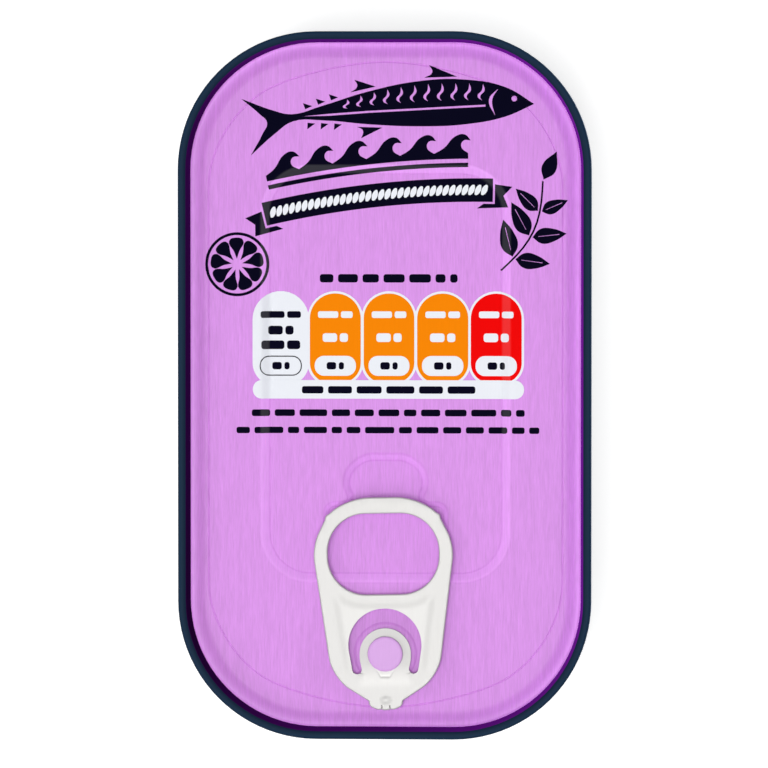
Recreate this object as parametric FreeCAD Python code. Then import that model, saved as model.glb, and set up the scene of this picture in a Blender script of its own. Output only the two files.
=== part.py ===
# Fish tin with a full-opening end: drawn aluminium body, double-seamed lid, riveted pull tab.
# Millimetres, +Z up, resting on z = 0, long side along Y, the tab's nose towards -Y.
import FreeCAD, Part
import math
import os
from FreeCAD import Vector

# tin, measured over the double seam
can_width = 61.93
can_length = 106.0
can_height = 28.5
corner_radius = 20.7

# double seam round the top
seam_thickness = 1.25
seam_height = 2.9
seam_round = 0.5           # outer edge of its top
seam_inner_round = 0.4
seam_hem_round = 0.3       # outer edge of its foot

# drawn body
wall_inset = 0.85          # wall's outer face in from the seam's outer face
wall_thickness = 0.25
base_round = 3.0
base_rest_width = 7.0      # flat ring that the tin rests on, rounding included
base_panel_depth = 0.7
base_panel_slope = 1.2
fit_gap = 0.02             # between pieces that are pressed together

# lid, from the seam inwards
chuck_depth = 3.9          # seam top down to the gutter
chuck_draft = 0.25
gutter_width = 1.0
gutter_round = 0.35
panel_rise = 0.35
panel_slope = 0.9
lid_plate = 0.4            # lid left under its deepest place

# score line that the lid tears along
score_side_inset = 4.365
score_end_inset = 4.55
score_corner = 16.66
score_end_arc = 40.34
score_width = 0.3
score_depth = 0.12

# rivet, formed out of the lid
rivet_inset = 12.63        # centre in from the end of the tin
boss_radius = 4.8
boss_height = 0.1
rivet_shank = 1.6
rivet_head = 2.63
rivet_head_height = 0.42
rivet_head_round = 0.15

# pull tab: rivet at 0, 0, ring towards +Y, underside at z = 0
tab_turn = 1.0             # degrees off the tin's own axis
tab_lift = 0.03
tab_thickness = 1.25
tab_edge_round = 0.45
tab_top = 23.55            # widths and places here are of the outline's corners before rounding
tab_width = 21.4
crown_inset = 5.02         # crown's and shoulder's corners in from the tab's side
crown_round = 8.7
shoulder_inset = 2.25
shoulder_drop = 2.75       # below the tab's top
shoulder_round = 0.5
tab_widest_y = 16.25
tab_side_round = 7.1
elbow_inset = 2.85
elbow_y = -3.51
elbow_round = 6.7
nose_width = 4.7
nose_root = 1.41           # nose's root, cheek and front, up from its tip
nose_root_round = 0.45
nose_cheek = 0.57
nose_cheek_round = 0.8
nose_front_width = 2.4
nose_front_round = 1.5
nose_past_score = 0.34
ring_width = 2.33          # wide corner in to the finger hole
ring_top_width = 2.12
hole_bottom = 8.97
hole_corner = 5.75
hole_rim = 1.05            # curled edge round the finger hole
rim_width = 1.1            # curled edge round the outline
web_top = 0.95
web_thickness = 0.5
web_far = 12.0             # beyond it the two curled edges meet

# tongue that the rivet holds, and the slot that frees it
tongue_radius = 3.85
tongue_bottom = 0.12
tongue_top = 0.6
slot_radius = 5.5
slot_y = 1.37
slot_arm_y = 0.5           # where the two arms leave the round part
slot_arm = 0.78            # half their width
slot_end_x = 4.15
slot_end_y = -2.2

# press marks on the nose
slit_spacing = 1.4
slit_width = 0.25
slit_length = 0.8
slit_depth = 0.35
dimple_radius = 1.05
dimple_depth = 0.12
dimple_y = 2.1             # up from the tip

# tray stepped down in the middle of the lid, with the finger well in it
tray_side_inset = 12.025
tray_end_inset = 19.8
tray_from_rivet = 10.57    # its near edge, up from the rivet
tray_corner = 7.6
tray_slope = 1.2
tray_depth = 0.7
well_width = 13.2
well_past_ring = 6.72
well_corner = 4.5
well_slope = 0.9
well_depth = 1.0
wing_width = 19.0          # wider part of the well, hidden by the ring
wing_corner = 2.25
wing_under_ring = 0.58

UP = Vector(0, 0, 1)
half_w = can_width / 2.0
half_l = can_length / 2.0
seam_z = can_height - seam_height
gutter_z = can_height - chuck_depth
panel_z = gutter_z + panel_rise
tray_z = panel_z - tray_depth
well_z = tray_z - well_depth
plate_z = well_z - lid_plate
gutter_inset = seam_thickness + chuck_draft
rivet_y = rivet_inset - half_l
tray_near = rivet_y + tray_from_rivet
tray_far = half_l - tray_end_inset
tray_half = half_w - tray_side_inset
ring_far = rivet_y + tab_top
tab_tip = score_end_inset - rivet_inset - nose_past_score
head_z = panel_z + tab_lift + tongue_top + fit_gap


def line(a, b):
    return Part.makeLine(Vector(*a), Vector(*b))


def arc_round(cx, cy, z, radius, start, turn):
    """Arc about a centre, angles in radians."""
    def on(t):
        return Vector(cx + radius * math.cos(t), cy + radius * math.sin(t), z)
    return Part.Arc(on(start), on(start + turn / 2), on(start + turn)).toShape()


def round_rect(hw, y0, y1, radius, z):
    radius = min(radius, 0.98 * hw, 0.49 * (y1 - y0))
    xs, low, high = hw - radius, y0 + radius, y1 - radius
    quarter = math.pi / 2
    return Part.Wire([
        arc_round(xs, high, z, radius, 0, quarter), line((xs, y1, z), (-xs, y1, z)),
        arc_round(-xs, high, z, radius, quarter, quarter), line((-hw, high, z), (-hw, low, z)),
        arc_round(-xs, low, z, radius, 2 * quarter, quarter), line((-xs, y0, z), (xs, y0, z)),
        arc_round(xs, low, z, radius, 3 * quarter, quarter), line((hw, low, z), (hw, high, z))])


def tin_outline(inset, z):
    """The seam's outer outline, moved inwards."""
    return round_rect(half_w - inset, inset - half_l, half_l - inset, corner_radius - inset, z)


def block(wire, height):
    return Part.Face(wire).extrude(UP * height)


def taper(low, high):
    return Part.makeLoft([low, high], True, True)


def disc(radius, y, z, height, x=0):
    return Part.makeCylinder(radius, height, Vector(x, y, z), UP)


def box(x0, x1, y0, y1, z0, z1):
    return Part.makeBox(x1 - x0, y1 - y0, z1 - z0, Vector(x0, y0, z0))


def rounded(shape, z, radius, keep=lambda p: True):
    """Rounds the edges that lie level at z and whose middle passes keep()."""
    edges = []
    for edge in shape.Edges:
        lies = abs(edge.BoundBox.ZMin - z) < 1e-4 and abs(edge.BoundBox.ZMax - z) < 1e-4
        first, last = edge.ParameterRange
        if lies and keep(edge.valueAt((first + last) / 2)):
            edges.append(edge)
    return shape.makeFillet(radius, edges)


def inset_of(p):
    """How far a point lies inside the seam's outer outline."""
    qx = abs(p.x) - (half_w - corner_radius)
    qy = abs(p.y) - (half_l - corner_radius)
    return corner_radius - math.hypot(max(qx, 0), max(qy, 0)) - min(max(qx, qy), 0)


def score_outline(grow, z):
    """Straight sides, tight corner arcs and a flatter arc over each end."""
    hw = half_w - score_side_inset + grow
    end = half_l - score_end_inset + grow
    corner, crown = score_corner + grow, score_end_arc + grow
    cx = hw - corner
    crown_y = end - crown
    cy = crown_y + math.sqrt((crown - corner) ** 2 - cx ** 2)
    meet = math.atan2(cy - crown_y, cx)
    edges = []
    for side in (1, -1):
        base = 0 if side == 1 else math.pi
        edges += [
            arc_round(side * cx, side * cy, z, corner, base, meet),
            arc_round(0, side * crown_y, z, crown, base + meet, math.pi - 2 * meet),
            arc_round(-side * cx, side * cy, z, corner, base + math.pi - meet, meet),
            line((-side * hw, side * cy, z), (-side * hw, -side * cy, z))]
    return Part.Wire(edges)


def can_body():
    body = rounded(block(tin_outline(wall_inset, 0), seam_z - fit_gap), 0, base_round)
    rest = wall_inset + base_rest_width
    recess = taper(tin_outline(rest, 0), tin_outline(rest + base_panel_slope, base_panel_depth))
    pocket = block(tin_outline(wall_inset + wall_thickness, plate_z - fit_gap), can_height)
    return body.cut(recess).cut(pocket)


def lid():
    seam = rounded(block(tin_outline(0, seam_z), seam_height), can_height, seam_round)
    seam = rounded(seam, seam_z, seam_hem_round)
    plug = block(tin_outline(wall_inset + wall_thickness + fit_gap, plate_z), seam_z - plate_z)
    end = seam.fuse(plug).removeSplitter()

    # chuck wall down to the gutter, with the panel standing up inside it
    cup = taper(tin_outline(gutter_inset, gutter_z), tin_outline(seam_thickness, can_height))
    cup = rounded(cup, gutter_z, gutter_round)
    step = gutter_inset + gutter_width
    panel = taper(tin_outline(step, gutter_z), tin_outline(step + panel_slope, panel_z))
    end = end.cut(cup.cut(panel))
    end = rounded(end, can_height, seam_inner_round,
                  lambda p: inset_of(p) > seam_thickness - seam_inner_round)

    floor_z = panel_z - score_depth
    groove = block(score_outline(score_width / 2, floor_z), seam_height)
    end = end.cut(groove.cut(block(score_outline(-score_width / 2, floor_z), seam_height)))
    end = end.cut(tray()).cut(finger_well())

    # rivet: low boss, shank through the tab, head over its tongue
    root = panel_z - score_depth
    end = end.fuse(disc(boss_radius, rivet_y, root, panel_z + boss_height - root))
    end = end.fuse(disc(rivet_shank, rivet_y, root, head_z + rivet_head_height / 2 - root))
    head = disc(rivet_head, rivet_y, head_z, rivet_head_height)
    return end.fuse(rounded(head, head_z + rivet_head_height, rivet_head_round))


def tray():
    inner = round_rect(tray_half - tray_slope, tray_near + tray_slope, tray_far - tray_slope,
                       tray_corner - tray_slope, tray_z)
    return taper(inner, round_rect(tray_half, tray_near, tray_far, tray_corner, panel_z))


def finger_well():
    """Deepest at its far edge, its floor running up to the tray's near edge."""
    near = tray_near + tray_slope
    shape = None
    for width, far, corner in ((well_width, ring_far + well_past_ring, well_corner),
                               (wing_width, ring_far - wing_under_ring, wing_corner)):
        low = round_rect(width / 2 - well_slope, near, far - well_slope, corner - well_slope / 2, well_z)
        high = round_rect(width / 2, near - well_slope, far, corner, tray_z)
        part = taper(low, high)
        shape = part if shape is None else shape.fuse(part)
    far = ring_far + well_past_ring
    side = Part.makePolygon([Vector(-half_w, y, z) for y, z in (
        (far, well_z), (near, tray_z), (near, panel_z), (far, panel_z), (far, well_z))])
    return shape.common(Part.Face(side).extrude(Vector(can_width, 0, 0)))


def rounded_chain(corners, z):
    """Straight runs through the corners, each (x, y, radius) rounded off; the two ends are plain."""
    edges = []
    last = Vector(corners[0][0], corners[0][1], z)
    for before, here, after in zip(corners, corners[1:], corners[2:]):
        point = Vector(here[0], here[1], z)
        back = (Vector(before[0], before[1], z) - point).normalize()
        ahead = (Vector(after[0], after[1], z) - point).normalize()
        half = back.getAngle(ahead) / 2
        reach = here[2] / math.tan(half)
        middle = (back + ahead).normalize() * (here[2] / math.sin(half) - here[2])
        start, end = point + back * reach, point + ahead * reach
        edges += [Part.makeLine(last, start), Part.Arc(start, point + middle, end).toShape()]
        last = end
    return edges + [Part.makeLine(last, Vector(corners[-1][0], corners[-1][1], z))]


def tab_outline(z):
    """The right half as a chain of rounded corners, mirrored to close it."""
    side = tab_width / 2
    right = rounded_chain([
        (0, tab_top, 0),
        (side - crown_inset, tab_top, crown_round),
        (side - shoulder_inset, tab_top - shoulder_drop, shoulder_round),
        (side, tab_widest_y, tab_side_round),
        (side - elbow_inset, elbow_y, elbow_round),
        (nose_width / 2, tab_tip + nose_root, nose_root_round),
        (nose_width / 2, tab_tip + nose_cheek, nose_cheek_round),
        (nose_front_width / 2, tab_tip, nose_front_round),
        (0, tab_tip, 0)], z)
    left = [edge.mirror(Vector(0, 0, 0), Vector(1, 0, 0)) for edge in right]
    return Part.Wire(Part.__sortEdges__(right + left))


def slot(z, height):
    """C-shaped, open towards the nose."""
    above = box(-slot_radius, slot_radius, slot_arm_y, slot_y + slot_radius, z, z + height)
    shape = disc(slot_radius, slot_y, z, height).common(above)
    for side in (1, -1):
        top = Vector(side * (slot_radius - slot_arm), slot_arm_y, z)
        low = Vector(side * slot_end_x, slot_end_y, z)
        across = (low - top).cross(UP).normalize() * slot_arm
        arm = Part.makePolygon([top + across, low + across, low - across, top - across, top + across])
        shape = shape.fuse(Part.Face(arm).extrude(UP * height))
        for end in (top, low):
            shape = shape.fuse(disc(slot_arm, end.y, z, height, end.x))
    return shape.cut(disc(tongue_radius, 0, z, height))


def pull_tab():
    under, tall = -1.0, tab_thickness + 2.0
    tab = block(tab_outline(0), tab_thickness)
    tab = rounded(tab, tab_thickness, tab_edge_round)
    tab = rounded(tab, 0, tab_edge_round)

    hole_hw = tab_width / 2 - ring_width
    hole_top = tab_top - ring_top_width
    tab = tab.cut(block(round_rect(hole_hw, hole_bottom, hole_top, hole_corner, under), tall))
    for z in (tab_thickness, 0):
        tab = rounded(tab, z, tab_edge_round,
                      lambda p: abs(p.x) < hole_hw + fit_gap
                      and hole_bottom - fit_gap < p.y < hole_top + fit_gap)

    # web between the curled edges, set in from above and below
    curl = block(round_rect(hole_hw + hole_rim, hole_bottom - hole_rim, hole_top + hole_rim,
                            hole_corner + hole_rim, under), tall)
    inside = Part.Face(tab_outline(under).makeOffset2D(-rim_width)).extrude(UP * tall).cut(curl)
    above = box(-tab_width, tab_width, elbow_y, web_far, web_top, tall)
    below = box(-tab_width, tab_width, elbow_y, web_far, under, web_top - web_thickness)
    tab = tab.cut(inside.common(above)).cut(inside.common(below))

    # tongue: lowered, freed round three sides and holed for the rivet
    tab = tab.cut(disc(tongue_radius, 0, tongue_top, tall)).cut(slot(under, tall))
    tab = tab.fuse(disc(tongue_radius, 0, tongue_bottom, tongue_top - tongue_bottom))
    tab = tab.cut(disc(boss_radius + tab_lift, 0, under, tongue_bottom - under))
    tab = tab.cut(disc(rivet_shank + tab_lift, 0, under, tall))

    # two short slits in the nose and a shallow dimple over them
    for side in (1, -1):
        x = side * slit_spacing / 2
        tab = tab.cut(box(x - slit_width / 2, x + slit_width / 2, tab_tip, tab_tip + slit_length,
                          tab_thickness - slit_depth, tall))
    ball = dimple_radius ** 2 / (2 * dimple_depth) + dimple_depth / 2
    centre = Vector(0, tab_tip + dimple_y, tab_thickness - dimple_depth + ball)
    dent = Part.makeSphere(ball, centre, Vector(0, 1, 0))
    tab = tab.cut(dent.common(disc(dimple_radius, tab_tip + dimple_y, under, tall)))

    tab = tab.removeSplitter()
    tab.rotate(Vector(0, 0, 0), UP, tab_turn)
    tab.translate(Vector(0, rivet_y, panel_z + tab_lift))
    return tab


os.makedirs("parts", exist_ok=True)
for node, make in (("can_body", can_body), ("lid", lid), ("pull_tab", pull_tab)):
    shape = make()
    print("%-8s solids %d valid %s volume %.1f" % (node, len(shape.Solids), shape.isValid(), shape.Volume))
    shape.Solids[0].exportStep("parts/%s.step" % node)
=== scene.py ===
import bpy
import bmesh
import math
import random
from mathutils import Matrix, Vector


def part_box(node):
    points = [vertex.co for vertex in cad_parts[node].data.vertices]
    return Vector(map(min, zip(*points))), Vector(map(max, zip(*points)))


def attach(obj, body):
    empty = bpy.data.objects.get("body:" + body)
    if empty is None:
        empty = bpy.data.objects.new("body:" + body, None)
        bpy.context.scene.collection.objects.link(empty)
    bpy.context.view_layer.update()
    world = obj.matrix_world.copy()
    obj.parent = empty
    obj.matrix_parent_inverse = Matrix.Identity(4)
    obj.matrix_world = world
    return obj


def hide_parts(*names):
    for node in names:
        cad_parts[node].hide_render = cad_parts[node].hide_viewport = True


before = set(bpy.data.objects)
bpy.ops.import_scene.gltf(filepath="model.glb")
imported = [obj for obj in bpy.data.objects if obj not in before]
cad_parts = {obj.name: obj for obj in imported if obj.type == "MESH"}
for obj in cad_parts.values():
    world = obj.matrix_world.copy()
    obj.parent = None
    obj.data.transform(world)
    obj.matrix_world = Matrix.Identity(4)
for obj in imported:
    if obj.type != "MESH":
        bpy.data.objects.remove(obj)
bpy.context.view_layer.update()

mm = 0.001  # every size below is in millimetres until a piece is finished
touching = 1e-4  # two places closer than this count as one
gap = 0.02  # keeps faces that touch apart
lidLow, lidHigh = (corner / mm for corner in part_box("lid"))
tabLow, tabHigh = (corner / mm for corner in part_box("pull_tab"))
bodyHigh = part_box("can_body")[1] / mm
halfWidth, halfLength, topZ = lidHigh.x, lidHigh.y, lidHigh.z


def srgb(r, g, b):
    def lin(v):
        v /= 255
        return v / 12.92 if v < 0.04045 else ((v + 0.055) / 1.055) ** 2.4
    return (lin(r), lin(g), lin(b), 1)


def addNode(tree, kind, inputs=None, **settings):
    node = tree.nodes.new(kind)
    for key, value in settings.items():
        setattr(node, key, value)
    for key, value in (inputs or {}).items():
        node.inputs[key].default_value = value
    return node


grainAndSheen = {  # marks of the sheet's rolling, drawn out along the tin, and the painted sheen
    "fine": {"stretch": (6000, 400, 900), "detail": 3, "seed": 1.3},
    "broad": {"stretch": (1500, 90, 300), "detail": 2, "seed": 7.1},
    "wave": {"stretch": (55, 40, 60), "detail": 1, "seed": 3.9},
    "roughness": 0.6, "broadShare": 0.25, "grainHeight": 0.00004,
    "waveHeight": 0.0006, "waveStrength": 0.25,
    "sheenGain": 0.4, "sheenMost": 0.12, "sheenColour": (0.8, 0.8, 0.82, 1),  # painted sheen: a pale colour mixed in where the painted light is strong
}


def stretchedNoise(tree, stretch, detail, seed):
    coords = addNode(tree, "ShaderNodeTexCoord")
    place = addNode(tree, "ShaderNodeMapping", {"Scale": stretch, "Location": (seed, seed * 0.7, 0)})
    noise = addNode(tree, "ShaderNodeTexNoise",
                    {"Scale": 1, "Detail": detail, "Roughness": grainAndSheen["roughness"]})
    tree.links.new(coords.outputs["Object"], place.inputs["Vector"])
    tree.links.new(place.outputs["Vector"], noise.inputs["Vector"])
    return noise.outputs["Fac"]


def grainAndShadingGroup():
    group = bpy.data.node_groups.new("grainAndShading", "ShaderNodeTree")
    for name, value in (("Contrast", 0.1), ("Depth", 0.1), ("Lift", 1.0)):
        socket = group.interface.new_socket(name, in_out="INPUT", socket_type="NodeSocketFloat")
        socket.default_value = value
    for name, kind in (("Shade", "Float"), ("Sheen", "Float"), ("Normal", "Vector")):
        group.interface.new_socket(name, in_out="OUTPUT", socket_type="NodeSocket" + kind)
    entry, leave = group.nodes.new("NodeGroupInput"), group.nodes.new("NodeGroupOutput")
    link = group.links.new

    fine, broad, wave = (stretchedNoise(group, **grainAndSheen[name]) for name in ("fine", "broad", "wave"))
    both = addNode(group, "ShaderNodeMix", {"Factor": grainAndSheen["broadShare"]}, data_type="FLOAT")
    link(fine, both.inputs["A"])
    link(broad, both.inputs["B"])

    # Shade is 1 on a plain place, varied by the rolling grain, and lighter or darker by the painted light and
    # shade
    shading = addNode(group, "ShaderNodeAttribute", attribute_name="paintedShading")
    lighter = addNode(group, "ShaderNodeMath", {2: 1}, operation="MULTIPLY_ADD")
    centred = addNode(group, "ShaderNodeMath", {1: 0.5}, operation="SUBTRACT")
    shade = addNode(group, "ShaderNodeMath", operation="MULTIPLY_ADD")
    link(shading.outputs["Fac"], lighter.inputs[0])
    link(entry.outputs["Lift"], lighter.inputs[1])
    link(both.outputs["Result"], centred.inputs[0])
    link(centred.outputs[0], shade.inputs[0])
    link(entry.outputs["Contrast"], shade.inputs[1])
    link(lighter.outputs[0], shade.inputs[2])
    link(shade.outputs[0], leave.inputs["Shade"])

    # Sheen is how much painted sheen, a pale colour, is mixed in there
    sheen = addNode(group, "ShaderNodeMath", {1: grainAndSheen["sheenGain"]}, operation="MULTIPLY")
    most = addNode(group, "ShaderNodeMath", {1: grainAndSheen["sheenMost"]}, operation="MINIMUM")
    link(shading.outputs["Fac"], sheen.inputs[0])
    link(sheen.outputs[0], most.inputs[0])
    link(most.outputs[0], leave.inputs["Sheen"])

    swell = addNode(group, "ShaderNodeBump",
                    {"Strength": grainAndSheen["waveStrength"], "Distance": grainAndSheen["waveHeight"]})
    grain = addNode(group, "ShaderNodeBump", {"Distance": grainAndSheen["grainHeight"]})
    link(wave, swell.inputs["Height"])
    link(entry.outputs["Depth"], grain.inputs["Strength"])
    link(both.outputs["Result"], grain.inputs["Height"])
    link(swell.outputs["Normal"], grain.inputs["Normal"])
    link(grain.outputs["Normal"], leave.inputs["Normal"])
    return group


shadingGroup = grainAndShadingGroup()


# lift scales the painted light and shade, and the last argument is how much painted sheen is mixed in
def sheetFinish(name, colour, metallic=0.0, roughness=0.4, gloss=0.25, contrast=0.1, depth=0.25,
                lift=1.0, sheenShare=0.0):
    material = bpy.data.materials.new(name)
    material.use_nodes = True
    tree = material.node_tree
    shader = tree.nodes["Principled BSDF"]
    shader.inputs["Metallic"].default_value = metallic
    shader.inputs["Roughness"].default_value = roughness
    shader.inputs["Specular IOR Level"].default_value = gloss
    marks = addNode(tree, "ShaderNodeGroup", node_tree=shadingGroup)
    marks.inputs["Contrast"].default_value = contrast
    marks.inputs["Depth"].default_value = depth
    marks.inputs["Lift"].default_value = lift
    tint = addNode(tree, "ShaderNodeVectorMath", {0: colour[:3]}, operation="SCALE")
    amount = addNode(tree, "ShaderNodeMath", {1: sheenShare}, operation="MULTIPLY", use_clamp=True)
    # a colour Mix: socket 0 is its factor, 6 and 7 its two colours, and 2 its result
    withSheen = addNode(tree, "ShaderNodeMix", {7: grainAndSheen["sheenColour"]}, data_type="RGBA")
    tree.links.new(marks.outputs["Shade"], tint.inputs["Scale"])
    tree.links.new(marks.outputs["Sheen"], amount.inputs[0])
    tree.links.new(amount.outputs[0], withSheen.inputs[0])
    tree.links.new(tint.outputs[0], withSheen.inputs[6])
    tree.links.new(withSheen.outputs[2], shader.inputs["Base Color"])
    tree.links.new(marks.outputs["Normal"], shader.inputs["Normal"])
    material.diffuse_color = colour
    return material


lilac = sheetFinish("lilacLacquer", srgb(213, 138, 228), contrast=0.6, sheenShare=1.0)
wallPurple = sheetFinish("purpleWall", srgb(60, 12, 80), gloss=0.0, depth=0.05)
navy = sheetFinish("navyLacquer", srgb(24, 42, 62), gloss=0.02, depth=0.05)
bodyNavy = sheetFinish("bodyLacquer", srgb(24, 42, 62), roughness=0.32, gloss=0.35, contrast=0.15, depth=0.1)
bareMetal = sheetFinish("satinAluminium", srgb(200, 199, 197), metallic=0.2, roughness=0.45, gloss=0.3,
                        contrast=0.08, depth=0.1)
rivetLilac = sheetFinish("rivetLacquer", srgb(215, 164, 228), depth=0.05)
# the inks take part of the painted sheen, and the white ink a little of the painted light
ink = sheetFinish("darkInk", srgb(4, 3, 26), roughness=0.45, gloss=0.01, contrast=0.3,
                  lift=0.0, sheenShare=0.4)
whiteInk = sheetFinish("whiteInk", srgb(235, 238, 245), roughness=0.45, gloss=0.2, contrast=0.06, lift=0.08)
orangeInk = sheetFinish("orangeInk", srgb(250, 136, 2), roughness=0.45, gloss=0.01, lift=0.0, sheenShare=0.4)
redInk = sheetFinish("redInk", srgb(243, 4, 4), roughness=0.45, gloss=0.01, lift=0.0, sheenShare=0.4)
print("finishes made")


def ease(t):
    t = min(max(t, 0), 1)
    return t * t * (3 - 2 * t)


def fadeOut(value, start, length):
    return 1 - ease((value - start) / length)


def spaced(start, end, step):
    count = round((end - start) / step)
    return [start + (end - start) * i / count for i in range(count + 1)]


def mirrored(corners):  # the right side's corners and their mirror images, anticlockwise
    return corners + [(-x, y, r) for x, y, r in reversed(corners)]


def insideOf(x, y, halfX, low, high, corner):  # how far a place lies inside a rounded outline
    qx = abs(x) - (halfX - corner)
    qy = abs(y - (low + high) / 2) - ((high - low) / 2 - corner)
    return corner - math.hypot(max(qx, 0), max(qy, 0)) - min(max(qx, qy), 0)


def roundedFace(bm, corners, z, stepAngle=4):  # flat face; each corner is (x, y, rounding), anticlockwise
    points = [Vector((x, y, z)) for x, y, r in corners]
    face = bm.faces.new([bm.verts.new(p) for p in points])
    for i, vert in enumerate(list(face.verts)):
        r = corners[i][2]
        back = (points[i - 1] - points[i]).normalized()
        ahead = (points[(i + 1) % len(points)] - points[i]).normalized()
        turn = math.pi - back.angle(ahead)
        segments = max(3, int(math.degrees(turn) / stepAngle))
        made = bmesh.ops.bevel(bm, geom=[vert], offset=r * math.tan(turn / 2), offset_type="OFFSET",
                               segments=segments, profile=0.5, affect="VERTICES", material=-1)
        face = made["verts"][0].link_faces[0]
    return face


def stepIn(bm, face, steps, material=0):  # walks a face inwards through (inset, height)
    reached = 0
    for inset, height in steps:
        made = bmesh.ops.inset_region(bm, faces=[face], thickness=inset - reached,
                                      use_boundary=True, use_even_offset=True)
        for band in made["faces"]:  # what each step leaves behind
            band.smooth = True
            band.material_index = material
        for vert in face.verts:
            vert.co.z = height(vert.co) if callable(height) else height
        reached = inset
    return face


def roundOver(fromInset, fromZ, toInset, toZ, flatFirst, count=5):  # steps along a quarter round
    steps = []
    for i in range(1, count + 1):
        t = i / count * math.pi / 2
        a, b = (math.sin(t), 1 - math.cos(t)) if flatFirst else (1 - math.cos(t), math.sin(t))
        steps.append((fromInset + (toInset - fromInset) * a, fromZ + (toZ - fromZ) * b))
    return steps


def slopeSteps(width, fromZ, toZ, count, tight=0.25):  # rounded over at the top, a tighter crease at the foot
    steps = []
    for i in range(1, count + 1):
        t = i / count
        fall = ease(t) * (1 - tight) + tight * t ** 3
        steps.append((width * t, fromZ + (toZ - fromZ) * fall))
    return steps


def openFace(bm, face):
    bmesh.ops.delete(bm, geom=[face], context="FACES_ONLY")


def fillLevel(bm, z):  # closes the flat between the open edges at one height
    rim = [e for e in bm.edges if e.is_boundary and all(abs(v.co.z - z) < touching for v in e.verts)]
    made = bmesh.ops.triangle_fill(bm, edges=rim, use_beauty=True, normal=(0, 0, 1))
    for item in made["geom"]:
        if isinstance(item, bmesh.types.BMFace):
            item.smooth = False


def finishPiece(bm, name, materials, nodes=()):
    bmesh.ops.remove_doubles(bm, verts=bm.verts[:], dist=touching)
    bmesh.ops.dissolve_degenerate(bm, dist=touching, edges=bm.edges[:])
    bmesh.ops.recalc_face_normals(bm, faces=bm.faces[:])
    loose = sum(1 for e in bm.edges if not e.is_manifold)
    bmesh.ops.scale(bm, vec=(mm, mm, mm), verts=bm.verts[:])
    mesh = bpy.data.meshes.new(name)
    bm.to_mesh(mesh)
    bm.free()
    for material in materials:
        mesh.materials.append(material)
    piece = bpy.data.objects.new(name, mesh)
    bpy.context.scene.collection.objects.link(piece)
    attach(piece, "root")
    if nodes:
        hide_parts(*nodes)
    print(name, len(mesh.polygons), "faces,", loose, "open edges")
    return piece


seam = {
    "corner": 20.7, "thickness": 1.25, "height": 2.9, "round": 0.4, "innerRound": 0.45, "hemRound": 0.3,
}
body = {
    "inset": 0.85, "wall": 0.25, "straight": 0.6, "baseRound": 3.0,
    "restRing": 7.0, "restRound": 0.4, "crease": 0.05,
    "panelSlope": 0.9, "panelStart": 1.4, "panelDepth": 0.7,
}


def tinOutline(inset):  # the seam's outline, moved inwards
    w, l, r = halfWidth - inset, halfLength - inset, seam["corner"] - inset
    return mirrored([(w, -l, r), (w, l, r)])


def makeBody():
    bm = bmesh.new()
    rimZ, wall = bodyHigh.z, body["wall"]
    # the pocket that the lid's plug sits in
    stepIn(bm, roundedFace(bm, tinOutline(body["inset"]), rimZ), [(wall, rimZ), (wall, lidLow.z - gap)])
    # the same outline again, down the outside and under the base to its recessed panel
    rest, deep, r = body["restRing"], body["panelDepth"], body["baseRound"]
    steps = [(0, body["straight"] * rimZ), (0, r)] + roundOver(0, r, r, 0, flatFirst=False, count=8)
    steps += [(rest - body["restRound"], 0), (rest, body["crease"]),
              (rest + body["panelSlope"], deep - body["crease"]), (rest + body["panelStart"], deep)]
    stepIn(bm, roundedFace(bm, tinOutline(body["inset"]), rimZ), steps)
    return finishPiece(bm, "canBody", [bodyNavy], ["can_body"])


chuck = {  # wall inside the seam, the gutter at its foot and the rise to the panel
    "depth": 3.9, "draft": 0.4, "footRound": 0.4, "gutter": 0.45, "rise": 0.35, "slope": 2.0, "steps": 8,
}
score = {
    "side": 4.365, "end": 4.55, "cornerY": 8.1999, "endX": 8.87, "corner": 16.66, "crown": 40.0,
    "half": 0.14, "deep": 0.1, "steps": ((0.6, 1), (1.4, 1), (2, 0)),
}
tray = {"side": 12.025, "end": 19.8, "near": 23.2, "corner": 7.6, "slope": 1.6, "deep": 0.7}
well = {
    "far": -10.1, "farX": 4.95, "farRound": 4.6, "widestX": 7.0, "widestY": -14.8, "sideRound": 3.5,
    "neckX": 5.5, "neckRound": 0.65, "wing": 9.5, "wingFar": -17.4, "wingRound": 1.85, "nearRound": 1.7,
    "slope": 1.45, "deep": 0.85,
}
boss = {"radius": 4.8, "rise": 0.1, "steps": ((0.1, 0.2), (0.3, 0.85), (0.45, 1)), "sides": 72}
rivet = {
    "inset": 12.63, "head": 2.63, "shank": 1.6, "lift": 0.62, "tall": 0.42, "underRound": 0.1, "dish": 0.05,
    "rim": ((0, 0.16), (0.05, 0.06), (0.18, 0), (0.6, 0), (0.9, 0.04)), "sides": 64,
}

gutterZ = topZ - chuck["depth"]
panelZ = gutterZ + chuck["rise"]
trayZ = panelZ - tray["deep"]
trayNear, trayFar = tray["near"] - halfLength, halfLength - tray["end"]
trayHalf = halfWidth - tray["side"]
traySteps = slopeSteps(tray["slope"], panelZ, trayZ, count=10)
rivetY = rivet["inset"] - halfLength

# painted light and shade, as a share of brightness: (everywhere, more to the right, more to the far end)
paintedLight = {
    "wall": (1.7, 2.0, 0.5), "wallReach": 0.6, "wallFoot": 0.3,
    "hem": 0.3, "hemDown": 0.28, "hemIn": 0.25, "hemOut": 0.35,
    "slope": (0.28, -0.03, 0), "slopeEdge": 4.5,
    "wellShare": 0.8, "wellEdge": 3.5, "wellRunOut": 0.2, "wellSlack": 0.1,
    "foot": (0.08, -0.12, -0.12), "footIn": 0.45, "footOut": 0.5,
    "border": (0.12, -0.04, 0), "borderReach": 3,
    "rivet": 0.15, "rivetClose": 4.6, "rivetReach": 2,
}


def trayInset(x, y):
    return insideOf(x, y, trayHalf, trayNear, trayFar, tray["corner"])


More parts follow.
